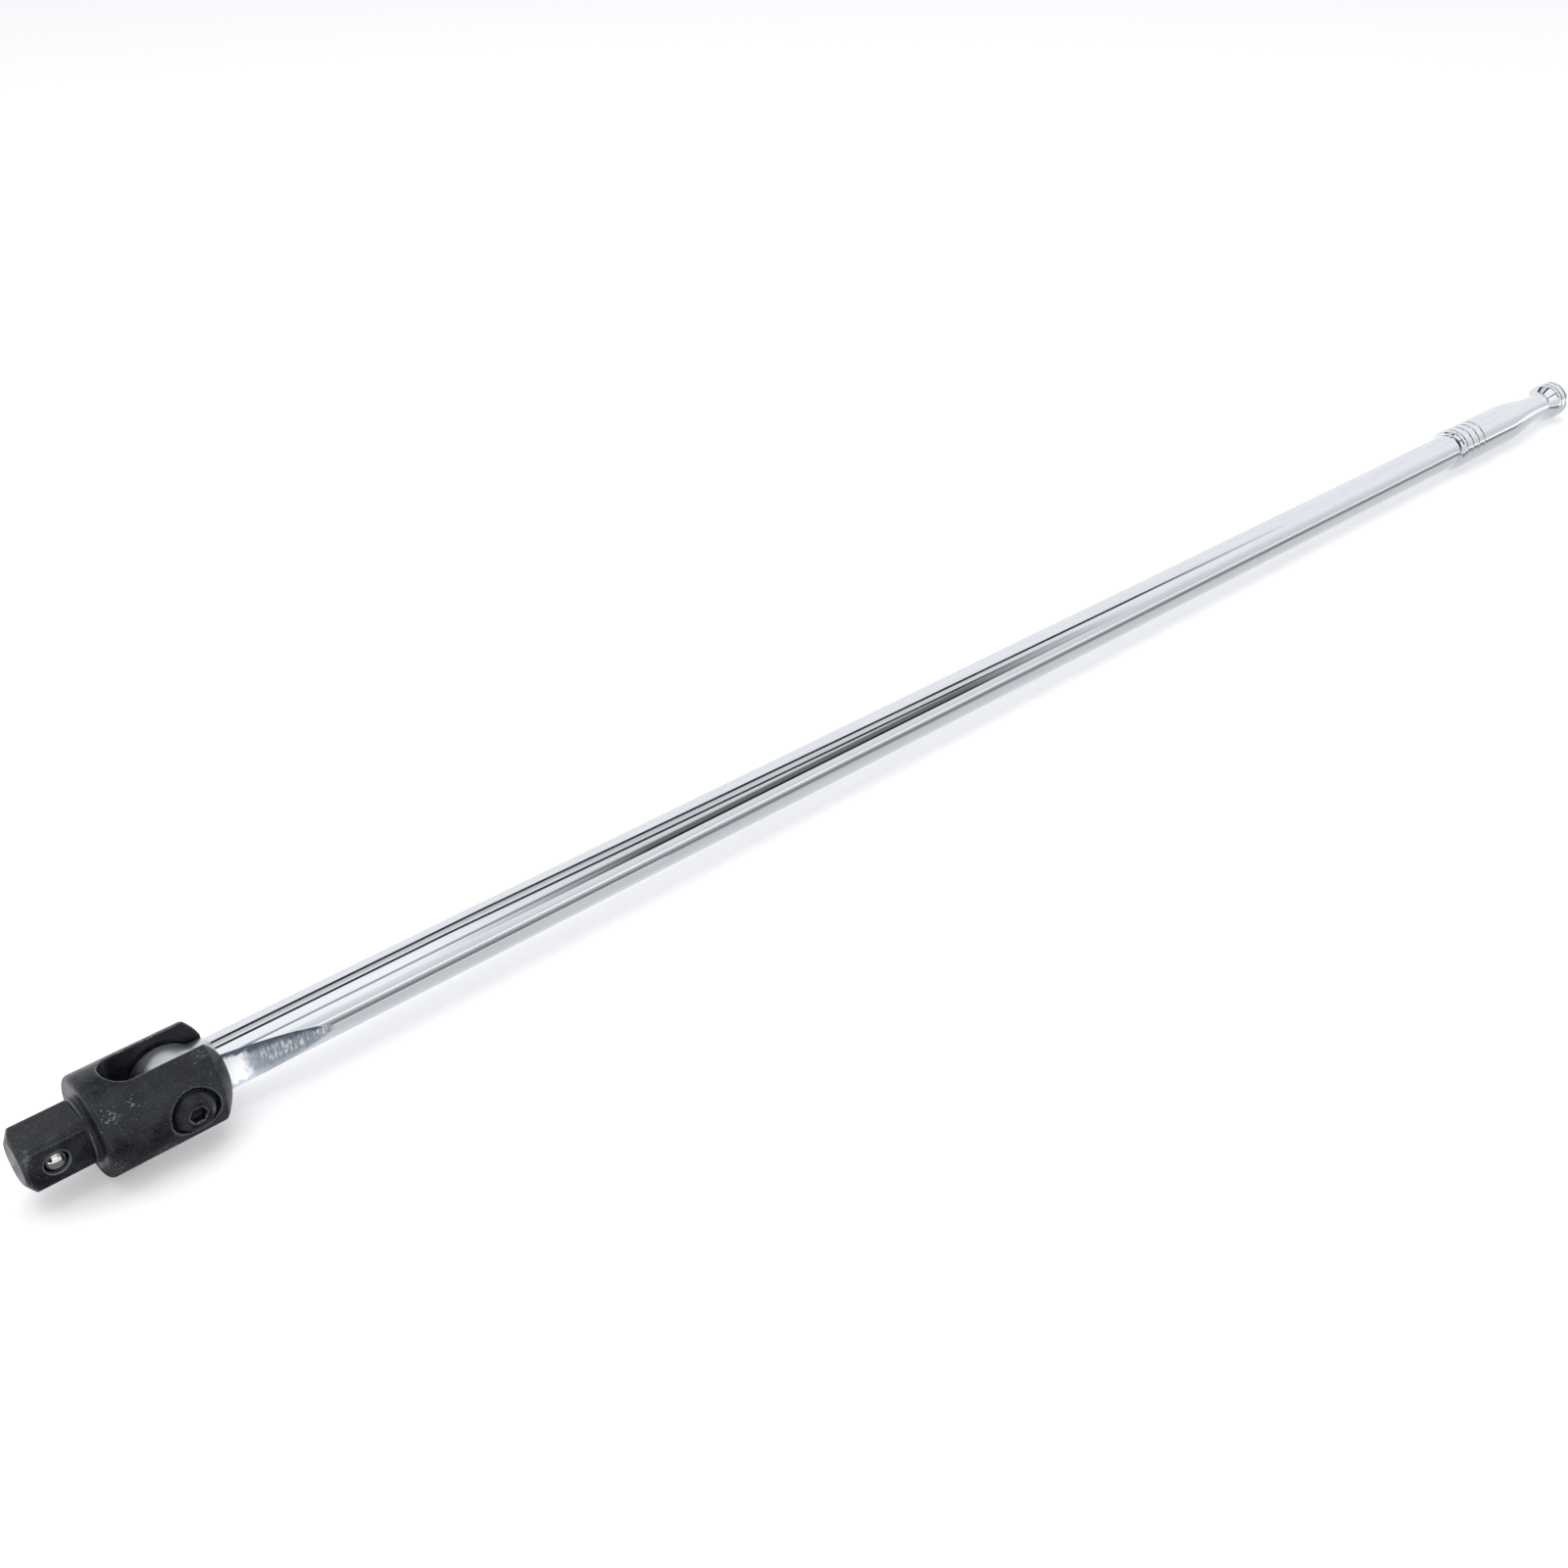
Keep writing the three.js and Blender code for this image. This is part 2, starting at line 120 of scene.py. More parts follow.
hinge = next(joint for joint in frame["joints"] if joint["name"] == "head_hinge")
pivot_x = hinge["pos_m"][0]
head_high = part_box("drive_head")[1]
head_radius = head_high.z
head_rear = head_high.x


def arc(centre, radius, start, end, count):
    """Points of a circle in a profile plane, from one angle to another in degrees."""
    angle = np.radians(np.linspace(start, end, count))
    return np.stack([centre[0] + radius * np.cos(angle), centre[1] + radius * np.sin(angle)], 1)


def turned_x(profile, count):
    """A grid turned about the X axis: each (x, radius) goes round in a circle of count points."""
    profile = np.asarray(profile, float)
    angle = np.linspace(0, 2 * np.pi, count, endpoint=False)
    x = np.repeat(profile[:, :1], count, 1)
    return np.stack([x, profile[:, 1:] * np.sin(angle), profile[:, 1:] * np.cos(angle)], 2)


def turned_y(profile, count, x):
    """A grid turned about a line along Y at x: each (y, radius) goes round it in a circle."""
    grid = turned_x(profile, count)
    return np.stack([x + grid[:, :, 1], grid[:, :, 0], grid[:, :, 2]], 2)


def skinned(name, grid):
    """A closed mesh over a grid whose columns wrap round and whose two end rows are poles."""
    rows, count = grid.shape[:2]
    index = np.arange(rows * count).reshape(rows, count)
    ahead = np.roll(index, -1, 1)
    quads = np.stack([index[:-1], ahead[:-1], ahead[1:], index[1:]], 2).reshape(-1, 4)
    mesh = bpy.data.meshes.new(name)
    mesh.from_pydata(grid.reshape(-1, 3), [], quads.tolist())
    work = bmesh.new()
    work.from_mesh(mesh)
    bmesh.ops.remove_doubles(work, verts=work.verts, dist=2e-7)
    bmesh.ops.recalc_face_normals(work, faces=work.faces)
    work.to_mesh(mesh)
    work.free()
    piece = bpy.data.objects.new(name, mesh)
    scene.collection.objects.link(piece)
    return piece


def settled(piece):
    """The piece with its modifiers turned into mesh."""
    graph = bpy.context.evaluated_depsgraph_get()
    mesh = bpy.data.meshes.new_from_object(piece.evaluated_get(graph))
    piece.modifiers.clear()
    piece.data = mesh
    return piece


def joined(piece, tool, how):
    """The piece cut by the tool's solid or joined with it, and the tool thrown away."""
    step = piece.modifiers.new("step", "BOOLEAN")
    step.operation = how
    step.solver = "EXACT"
    step.object = tool
    settled(piece)
    bpy.data.objects.remove(tool)
    return piece


def smoothed(piece, degrees):
    """Smooth shading, kept crisp where faces meet at more than so many degrees."""
    piece.data.polygons.foreach_set("use_smooth", np.ones(len(piece.data.polygons), bool))
    piece.data.set_sharp_from_angle(angle=math.radians(degrees))
    return piece


def rear_dome():
    """An arc centred on the axis, from the outside of the head to the rim of its rear face."""
    rise = head_radius ** 2 - REAR_FACE_RADIUS ** 2
    reach = (DOME_LENGTH ** 2 + rise) / (2 * DOME_LENGTH)
    radius = math.hypot(reach, REAR_FACE_RADIUS)
    start = math.degrees(math.asin(head_radius / radius))
    end = math.degrees(math.asin(REAR_FACE_RADIUS / radius))
    return arc((head_rear - reach, 0), radius, start, end, 12)


def square_tang():
    """Rings along X of an eight-sided outline, held inside the turned cone of the tip."""
    side = SQUARE_HALF
    corner = side - SQUARE_CORNER
    outline = np.array([
        [corner, side], [side, corner], [side, -corner], [corner, -side],
        [-corner, -side], [-side, -corner], [-side, corner], [-corner, side],
    ])
    share = np.linspace(0, 1, 24, endpoint=False)[:, None]
    ahead = np.roll(outline, -1, 0)
    ring = (outline[:, None] * (1 - share) + ahead[:, None] * share).reshape(-1, 2)
    reach = np.hypot(ring[:, 0], ring[:, 1])
    tip_radius = side - TIP_INSET
    slope = (reach.max() - tip_radius) / TIP_LENGTH
    along = np.concatenate([np.linspace(0, TIP_LENGTH, 14), np.linspace(TANG_START, TANG_END, 14)])
    allowed = tip_radius + slope * along[:, None]
    size = np.minimum(1, allowed / reach)
    x = np.repeat(along[:, None], len(ring), 1)
    sides = np.stack([x, ring[:, 0] * size, ring[:, 1] * size], 2)
    front = sides[:1] * [1, 0, 0]
    back = sides[-1:] * [1, 0, 0]
    return np.concatenate([front, sides, back])


def slot_tool():
    """A milled slot as a stack of rings along Z: two straight sides and a round front end."""
    angle = np.radians(np.linspace(90, 270, 40))
    centre = SLOT_FRONT + SLOT_HALF
    behind = head_rear + 2 * CUT_PAST
    x = np.concatenate([[behind], centre + SLOT_HALF * np.cos(angle), [behind]])
    y = np.concatenate([[SLOT_HALF], SLOT_HALF * np.sin(angle), [-SLOT_HALF]])
    ring = np.stack([x, y, np.zeros_like(x)], 1)
    top = ring + [0, 0, head_radius + 2 * CUT_PAST]
    middle = np.array([centre, 0, 0])
    rings = [top * [0, 0, 1] + middle, top, top * [1, 1, -1], top * [0, 0, -1] + middle]
    return np.stack(rings)


def hole_y(start, end, radius, x):
    """A drill's solid: a closed cylinder along Y at x, from start to end."""
    return turned_y([[start, 0], [start, radius], [end, radius], [end, 0]], 96, x)


ring_radius = math.hypot(SQUARE_HALF, SQUARE_HALF - SQUARE_CORNER) + 0.0001
ring_front = SQUARE_LENGTH - RING_LENGTH
head_profile = np.concatenate([
    [[ring_front, 0], [ring_front, ring_radius - RING_CHAMFER]],
    [[ring_front + RING_CHAMFER, ring_radius], [SQUARE_LENGTH, ring_radius]],
    arc((SQUARE_LENGTH + FRONT_ROUNDING, head_radius - FRONT_ROUNDING), FRONT_ROUNDING, 180, 90, 10),
    np.stack([np.linspace(BODY_START, BODY_END, 24), np.full(24, head_radius)], 1),
    rear_dome(),
    [[head_rear, 0]],
])
counterbore_floor = COUNTERBORE_DEPTH - head_radius
drive_head = skinned("drive_head_forging", turned_x(head_profile, 192))
joined(drive_head, skinned("tang", square_tang()), "UNION")
joined(drive_head, skinned("slot", slot_tool()), "DIFFERENCE")
for tool in (
    hole_y(-head_radius - CUT_PAST, counterbore_floor, COUNTERBORE_RADIUS, pivot_x),
    hole_y(-head_radius, SLOT_HALF + PILOT_DEPTH, SHOULDER_HOLE_RADIUS, pivot_x),
    hole_y(0, head_radius + CUT_PAST, THREAD_HOLE_RADIUS, pivot_x),
    hole_y(-SQUARE_HALF - CUT_PAST, BALL_BORE_END, BALL_SEAT_RADIUS, BALL_X),
):
    joined(drive_head, skinned("drill", tool), "DIFFERENCE")
remesh = drive_head.modifiers.new("remesh", "REMESH")
remesh.mode = "VOXEL"
remesh.voxel_size = EDGE_SOFTNESS
softened = drive_head.modifiers.new("softened", "SMOOTH")
softened.factor = 0.5
softened.iterations = 3
settled(drive_head)
smoothed(drive_head, 180)


def mark_edges(piece, passes):
    """Stores how far the surface falls away round each vertex, for the worn edges. It is the
    mean, over the vertex's edges, of their direction against its normal, evened out a few times."""
    mesh = piece.data
    count = len(mesh.vertices)
    place = np.empty(count * 3)
    mesh.vertices.foreach_get("co", place)
    normal = np.empty(count * 3)
    mesh.vertex_normals.foreach_get("vector", normal)
    ends = np.empty(len(mesh.edges) * 2, int)
    mesh.edges.foreach_get("vertices", ends)
    place, normal, ends = place.reshape(-1, 3), normal.reshape(-1, 3), ends.reshape(-1, 2)
    step = place[ends[:, 1]] - place[ends[:, 0]]
    step /= np.maximum(np.linalg.norm(step, axis=1), 1e-9)[:, None]
    shares = np.bincount(ends.ravel(), minlength=count) + 1e-9
    leaving = np.bincount(ends[:, 0], (step * normal[ends[:, 0]]).sum(1), count)
    coming = np.bincount(ends[:, 1], (step * normal[ends[:, 1]]).sum(1), count)
    fall = (coming - leaving) / shares
    for _ in range(passes):
        near = np.bincount(ends[:, 0], fall[ends[:, 1]], count)
        near += np.bincount(ends[:, 1], fall[ends[:, 0]], count)
        fall = (fall + near) / (shares + 1)
    mesh.attributes.new("edge", "FLOAT", "POINT").data.foreach_set("value", fall)


mark_edges(drive_head, 2)


def node_adder(tree):
    """A function that adds a node to the tree, with its settings, and fills or links its inputs."""

    def node(kind, inputs=(), **settings):
        made = tree.nodes.new(kind)
        for key, value in settings.items():
            setattr(made, key, value)
        for key, value in dict(inputs).items():
            if isinstance(value, bpy.types.NodeSocket):
                tree.links.new(value, made.inputs[key])
            else:
                made.inputs[key].default_value = value
        return made

    return node


def maths_adder(node):
    """A function that works out a sum on up to three values with a node."""

    def maths(operation, one, other=0.0, third=0.0):
        return node("ShaderNodeMath", {0: one, 1: other, 2: third}, operation=operation).outputs[0]

    return maths


def new_material(name):
    """A node material with its Principled shader, its node adder and its links."""
    material = bpy.data.materials.new(name)
    material.use_nodes = True
    tree = material.node_tree
    return material, tree.nodes["Principled BSDF"], node_adder(tree), tree.links


def ramp(node, value, low, high, start=0.0, end=1.0):
    """A value stretched from between low and high to between start and end, and held there."""
    made = node("ShaderNodeMapRange", {"Value": value, "From Min": low, "From Max": high})
    made.inputs["To Min"].default_value = start
    made.inputs["To Max"].default_value = end
    return made.outputs["Result"]


def mixed(node, share, one, other):
    """One colour where the share is nought, the other where it is one, and between them between."""
    made = node("ShaderNodeMix", data_type="RGBA")
    for socket, value in ((made.inputs[0], share), (made.inputs[6], one), (made.inputs[7], other)):
        if isinstance(value, bpy.types.NodeSocket):
            made.id_data.links.new(value, socket)
        else:
            socket.default_value = value if isinstance(value, float) else (*value, 1)
    return made.outputs[2]


def stretched_noise(node, place, scale, detail, roughness):
    """Noise on object coordinates with its own scale along each axis."""
    mapping = node("ShaderNodeMapping", {"Vector": place, "Scale": scale})
    made = node("ShaderNodeTexNoise", {"Vector": mapping.outputs[0], "Scale": 1.0})
    made.inputs["Detail"].default_value = detail
    made.inputs["Roughness"].default_value = roughness
    return made.outputs["Fac"]


def black_phosphate():
    """Blackened steel: mottled dark grey, rubbed along its edges, with flecks where it is scuffed,
    and a painted highlight in a thin ring round the rim of the ball's seat.
    """
    material, shader, node, links = new_material("black phosphate steel")
    maths = maths_adder(node)
    place = node("ShaderNodeTexCoord").outputs["Object"]
    clouds = stretched_noise(node, place, (210, 210, 210), 5, 0.65)
    grain = stretched_noise(node, place, (2600, 2600, 2600), 3, 0.6)
    turning = stretched_noise(node, place, (3600, 60, 60), 2, 0.5)
    flecks = stretched_noise(node, place, (1500, 1900, 1700), 5, 0.7)
    strokes = stretched_noise(node, place, (260, 900, 2100), 3, 0.6)
    patches = 0.0
    for centre, reach, strength in SCUFFS:
        apart = node("ShaderNodeVectorMath", {0: place, 1: centre}, operation="DISTANCE")
        patch = ramp(node, apart.outputs["Value"], reach, 0.2 * reach, 0.0, 0.14 * strength)
        patches = maths("MAXIMUM", patches, patch)
    edge = node("ShaderNodeAttribute", attribute_name="edge").outputs["Fac"]
    rubbed = ramp(node, edge, 0.03, 0.13)
    nicks = ramp(node, maths("ADD", flecks, maths("MULTIPLY", rubbed, 0.10)), 0.64, 0.70)
    wear_and_painted_highlight = maths("MULTIPLY", ramp(node, maths("ADD", flecks, patches), 0.635, 0.73), 0.62)
    wear_and_painted_highlight = maths("MAXIMUM", wear_and_painted_highlight, maths("MULTIPLY", nicks, 0.8))
    wear_and_painted_highlight = maths("MAXIMUM", wear_and_painted_highlight, maths("MULTIPLY", rubbed, ramp(node, clouds, 0.35, 0.65, 0.10, 0.42)))
    line = maths("ABSOLUTE", maths("SUBTRACT", strokes, 0.5))
    scratch = maths("MULTIPLY", ramp(node, line, 0.008, 0.0), ramp(node, clouds, 0.54, 0.64))
    wear_and_painted_highlight = maths("MAXIMUM", wear_and_painted_highlight, maths("MULTIPLY", scratch, 0.16))
    # A painted highlight: a thin bright ring round the rim of the ball's seat, mixed in with the worn
    # colour.
    ball_place = (BALL_X, -SQUARE_HALF, 0.0)
    out = node("ShaderNodeVectorMath", {0: place, 1: ball_place}, operation="DISTANCE")
    painted_highlight_from_rim = maths("SUBTRACT", out.outputs["Value"], BALL_SEAT_RADIUS + 0.0001)
    painted_highlight_from_rim = maths("ABSOLUTE", painted_highlight_from_rim)
    wear_and_painted_highlight = maths("MAXIMUM", wear_and_painted_highlight, ramp(node, painted_highlight_from_rim, 0.00018, 0.00004, 0.0, 0.65))
    body = mixed(node, ramp(node, clouds, 0.40, 0.62), PHOSPHATE, DRY_PHOSPHATE)
    dusty = mixed(node, ramp(node, grain, 0.54, 0.76), body, DUST)
    links.new(mixed(node, wear_and_painted_highlight, dusty, WORN_STEEL_AND_PAINTED_HIGHLIGHT), shader.inputs["Base Color"])
    links.new(maths("MULTIPLY", wear_and_painted_highlight, 0.6), shader.inputs["Metallic"])
    links.new(ramp(node, clouds, 0.38, 0.64, 0.30, 0.48), shader.inputs["Roughness"])
    shader.inputs["Specular IOR Level"].default_value = 0.39
    relief = maths("ADD", grain, turning)
    bump = node("ShaderNodeBump", {"Height": relief, "Strength": 0.35, "Distance": 0.00004})
    links.new(bump.outputs[0], shader.inputs["Normal"])
    return material


phosphate = black_phosphate()
drive_head.data.materials.append(phosphate)
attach(drive_head, "head")
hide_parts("drive_head")

# ---- Detent ball ------------------------------------------------------------------------------
# A hardened and polished steel ball. It stands a little out of its bore in the square, pushed by
# the spring behind it, and holds a socket on the square.

ball_low, ball_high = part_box("detent_ball")
ball_radius = (ball_high.y - ball_low.y) / 2
ball_centre = (ball_low + ball_high) / 2


def polished_chrome(name, dull, bright):
    """Bright plating: mirror-like, very slightly wavy along the piece, with faint wiping marks."""
    material, shader, node, links = new_material(name)
    place = node("ShaderNodeTexCoord").outputs["Object"]
    wave = stretched_noise(node, place, (14, 90, 90), 1, 0.4)
    wipes = stretched_noise(node, place, (30, 700, 700), 4, 0.6)
    tint = mixed(node, ramp(node, wipes, 0.35, 0.7), dull, bright)
    links.new(tint, shader.inputs["Base Color"])
    shader.inputs["Metallic"].default_value = 1.0
    links.new(ramp(node, wipes, 0.4, 0.75, 0.05, 0.10), shader.inputs["Roughness"])
    bump = node("ShaderNodeBump", {"Height": wave, "Strength": 0.25, "Distance": 0.0002})
    links.new(bump.outputs[0], shader.inputs["Normal"])
    return material


hard_steel = polished_chrome("polished ball steel", (0.84, 0.83, 0.81), (0.92, 0.91, 0.89))
ball_profile = arc((ball_centre.y, 0), ball_radius, 180, 0, 49)
ball_profile[:, 1] = np.maximum(ball_profile[:, 1], 0)
detent_ball = smoothed(skinned("detent_ball_polished", turned_y(ball_profile, 96, BALL_X)), 180)
detent_ball.data.materials.append(hard_steel)
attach(detent_ball, "ball")
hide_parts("detent_ball")

# ---- Detent spring ----------------------------------------------------------------------------
# A coil of bare spring wire between the back of the ball and the floor of the bore. It shortens
# when the ball is pressed in.

SPRING_WIRE = 0.0006
SPRING_TURNS = 4.5

spring_low, spring_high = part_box("detent_spring")


def bare_steel():
    """Uncoated steel with fine drawing marks and a little tarnish."""
    material, shader, node, links = new_material("bare steel")
    place = node("ShaderNodeTexCoord").outputs["Object"]
    tarnish = stretched_noise(node, place, (420, 420, 420), 4, 0.6)
    marks = stretched_noise(node, place, (900, 4200, 900), 2, 0.5)
    colour = mixed(node, ramp(node, tarnish, 0.35, 0.7), (0.46, 0.45, 0.43), (0.30, 0.29, 0.28))
    links.new(colour, shader.inputs["Base Color"])
    shader.inputs["Metallic"].default_value = 1.0
    links.new(ramp(node, marks, 0.3, 0.7, 0.25, 0.42), shader.inputs["Roughness"])
    bump = node("ShaderNodeBump", {"Height": marks, "Strength": 0.3, "Distance": 0.00003})
    links.new(bump.outputs[0], shader.inputs["Normal"])
    return material


def wire_coil(count):
    """Rows of rings along a helix about a line along Y: at angle a the wire's centre is
    (x + R cos a, start + climb a, R sin a), and its ring is a circle square to the wire there.
    The two end rows shrink to points, so the wire is cut off flat."""
    last = 2 * math.pi * SPRING_TURNS
    angle = np.concatenate([[0], np.linspace(0, last, count), [last]])[:, None]
    size = SPRING_WIRE / 2 * np.ones((count + 2, 1, 1))
    size[[0, -1]] = 0
    reach = (spring_high.z - spring_low.z - SPRING_WIRE) / 2
    climb = (spring_high.y - spring_low.y - SPRING_WIRE) / last
    outward = np.concatenate([np.cos(angle), 0 * angle, np.sin(angle)], 1)
    along = np.concatenate([-reach * np.sin(angle), climb + 0 * angle, reach * np.cos(angle)], 1)
    along /= math.hypot(reach, climb)
    start = np.array([BALL_X, spring_low.y + SPRING_WIRE / 2, 0])
    centre = start + reach * outward + climb * angle * np.array([0, 1, 0])
    around = np.linspace(0, 2 * math.pi, 20, endpoint=False)[None, :, None]
    across = np.cross(along, outward)[:, None]
    return centre[:, None] + size * (np.cos(around) * outward[:, None] + np.sin(around) * across)


steel = bare_steel()
spring = smoothed(skinned("detent_spring_coil", wire_coil(220)), 60)
spring.data.materials.append(steel)
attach(spring, "head")
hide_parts("detent_spring")
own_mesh(spring)

# ---- Pivot screw ------------------------------------------------------------------------------
# A blackened steel shoulder screw with a button head and a hexagon socket. Its head sits in the
# near cheek's counterbore, the tongue turns on its shoulder, and its thread holds in the far cheek.

SHOULDER_RADIUS = 0.004
HEAD_SIDE = 0.0008
SEAT_GAP = 0.0002
HEX_RADIUS = 0.004 / math.sqrt(3)
HEX_DEPTH = 0.0020
HEX_RIM = 0.0005
THREAD_PITCH = 0.001
THREAD_RADIUS = 0.00305
THREAD_DEPTH = 0.0004

screw_low, screw_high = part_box("pivot_screw")
screw_head_radius = screw_high.z
seat = counterbore_floor - SEAT_GAP
dome_top = screw_low.y
dome_edge = seat - HEAD_SIDE
rim_radius = HEX_RADIUS + HEX_RIM


def screw_grid(count):
    """Rows down the socket, over the dome and along the shank. Each row's radius is a circle's,
    or a hexagon's in the socket, and the thread adds a ridge that climbs one pitch a turn."""
    turn_angle = np.linspace(0, 2 * np.pi, count, endpoint=False)
    hexagon = math.cos(math.pi / 6) / np.cos((turn_angle % (math.pi / 3)) - math.pi / 6)
    angle = np.radians(np.linspace(4, 90, 26))
    dome_y = dome_edge - (dome_edge - dome_top) * np.cos(angle)
    dome_r = rim_radius + (screw_head_radius - rim_radius) * np.sin(angle)
    socket_floor = dome_top + HEX_DEPTH
    shoulder_end = SLOT_HALF + PILOT_DEPTH - 0.0002
    start = SLOT_HALF + PILOT_DEPTH - 0.0001
    end = screw_high.y
    thread_y = np.linspace(start, end, 80)
    rows = np.concatenate([
        [[socket_floor + 0.0006, 0, 0], [socket_floor + 0.0001, 0.0016, 0]],
        [[socket_floor, HEX_RADIUS, 1], [dome_top + 0.0002, HEX_RADIUS, 1]],
        [[dome_top + 0.00008, HEX_RADIUS + 0.00006, 0.9]],
        [[dome_top, HEX_RADIUS + 0.0002, 0.5], [dome_top, rim_radius - 0.0001, 0]],
        np.stack([dome_y, dome_r, 0 * dome_y], 1),
        [[seat - 0.0001, screw_head_radius, 0], [seat, screw_head_radius - 0.0001, 0]],
        [[seat, SHOULDER_RADIUS, 0], [shoulder_end, SHOULDER_RADIUS, 0]],
        np.stack([thread_y, np.full(80, THREAD_RADIUS), 0 * thread_y], 1),
        [[end, THREAD_RADIUS - 0.0007, 0], [end - 0.0002, 0.0015, 0], [end - 0.0002, 0, 0]],
    ])
    y, radius, hex_share = rows.T
    ring = radius[:, None] * (1 + hex_share[:, None] * (hexagon - 1))
    phase = (y[:, None] / THREAD_PITCH + turn_angle / (2 * math.pi)) % 1
    ridge = np.abs(2 * phase - 1)
    fade = np.clip((end - 0.0001 - y) / 0.0008, 0.35, 1)[:, None]
    threaded = ((y >= start) & (radius == THREAD_RADIUS))[:, None]
    ring = np.where(threaded, (ring - THREAD_DEPTH * ridge) * (0.93 + 0.07 * fade), ring)
    across = np.repeat(y[:, None], count, 1)
    return np.stack([pivot_x + ring * np.cos(turn_angle), across, ring * np.sin(turn_angle)], 2)


pivot_screw = smoothed(skinned("pivot_screw_button_head", screw_grid(240)), 32)
mark_edges(pivot_screw, 0)
pivot_screw.data.materials.append(phosphate)
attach(pivot_screw, "head")
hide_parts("pivot_screw")

# ---- Friction washers -------------------------------------------------------------------------
# Two thin discs stamped from spring steel. One lies on each side of the tongue, round the screw's
# shoulder, and they keep the head where it is put.

WASHER_EDGE = 0.00008
BORE_CLEARANCE = 0.0003

for side in ("near", "far"):
    node_name = "friction_washer_" + side
    low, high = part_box(node_name)
    rim = high.z
    bore = SHOULDER_RADIUS + BORE_CLEARANCE
    washer_profile = np.array([
        [low.y, bore + WASHER_EDGE], [low.y, rim - WASHER_EDGE], [low.y + WASHER_EDGE, rim],
        [high.y - WASHER_EDGE, rim], [high.y, rim - WASHER_EDGE], [high.y, bore + WASHER_EDGE],
        [high.y - WASHER_EDGE, bore], [low.y + WASHER_EDGE, bore], [low.y, bore + WASHER_EDGE],
    ])
    washer = smoothed(skinned(node_name + "_disc", turned_y(washer_profile, 128, pivot_x)), 30)
    washer.data.materials.append(steel)
    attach(washer, "head")
    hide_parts(node_name)

# ---- Handle bar -------------------------------------------------------------------------------
# A forged steel bar with a round eye about the pivot. A ground flat on each side runs out into the
# round, and the whole bar is chromed. Its far end is a spigot inside the grip.

EYE_RADIUS = 0.009
TONGUE_HALF = 0.0046
FLAT_END = 0.0498
RUN_OUT = 0.028
NECK_RADIUS = 0.0074
BAR_RADIUS = 0.0076
NECK_TAPER = 0.070
SPIGOT_RADIUS = 0.0055
NECK_FILLET = 0.0012
DULL_CHROME = (0.79, 0.81, 0.84)
BRIGHT_CHROME = (0.85, 0.865, 0.89)
# The flats' colours: the grey is their own tone. The dark one is painted shade along their top, the
# pale one a paler painted bottom, and the bright one painted highlights.
GROUND_PAINTED_SHADE = (0.12, 0.15, 0.19)
GROUND_GREY = (0.34, 0.38, 0.44)
GROUND_PAINTED_LIGHT = (0.58, 0.62, 0.68)
GROUND_PAINTED_HIGHLIGHT = (0.93, 0.94, 0.95)

bar_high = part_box("handle_bar")[1]
grip_low, grip_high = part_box("end_grip")
bar_end = grip_low.x - 0.0002


def bar_grid():
    """Sections across the bar. The top of a section is the higher of the eye and the round neck,
    blended by a small fillet, and its sides are held in by the flats."""
    eye = pivot_x - EYE_RADIUS * np.cos(np.radians(np.linspace(0, 125, 70)))
    x = np.concatenate([eye, np.linspace(eye[-1] + 0.0004, 0.08, 90), np.linspace(0.085, bar_end, 70)])
    x = np.concatenate([x, [bar_end, bar_high.x - 0.0008, bar_high.x]])
    taper = np.clip((x - FLAT_END) / NECK_TAPER, 0, 1)
    radius = NECK_RADIUS + (BAR_RADIUS - NECK_RADIUS) * taper
    radius[-3:] = SPIGOT_RADIUS, SPIGOT_RADIUS, SPIGOT_RADIUS - 0.0008
    side = TONGUE_HALF + np.clip(x - FLAT_END, 0, None) * (BAR_RADIUS - TONGUE_HALF) / RUN_OUT
    corner = np.degrees(np.arcsin(np.clip(side / radius, 0, math.sin(math.radians(89)))))
    across = np.linspace(-1, 1, 41)
    down = np.linspace(0, 1, 25)[1:-1]
    top = across[None] * corner[:, None]
    flank = corner[:, None] + down[None] * (180 - 2 * corner[:, None])
    angle = np.radians(np.concatenate([top, flank, top + 180, flank + 180], 1))
    y = np.clip(radius[:, None] * np.sin(angle), -side[:, None], side[:, None])
    round_z = radius[:, None] * np.cos(angle)
    height = np.sqrt(np.clip(EYE_RADIUS ** 2 - (x - pivot_x) ** 2, 0, None))[:, None]
    lean = round_z / np.clip(np.sqrt(radius[:, None] ** 2 - y ** 2), 1e-9, None)
    neck = np.where(x > pivot_x, 1, 0)[:, None] * np.sqrt(radius[:, None] ** 2 - y ** 2)
    gap = np.abs(height - neck)
    blend = np.clip(NECK_FILLET - gap, 0, None) ** 2 / (4 * NECK_FILLET)
    outer = np.maximum(height, neck) + np.where(x > pivot_x, 1, 0)[:, None] * blend
    z = outer * np.clip(lean, -1, 1)
    grid = np.stack([np.repeat(x[:, None], angle.shape[1], 1), y, z], 2)
    return np.concatenate([grid, grid[-1:] * [1, 0, 0]])


handle_bar = skinned("handle_bar_chromed", bar_grid())
eye_bore = hole_y(-0.008, 0.008, SHOULDER_RADIUS + BORE_CLEARANCE, pivot_x)
joined(handle_bar, skinned("eye_bore", eye_bore), "DIFFERENCE")
smoothed(handle_bar, 28)


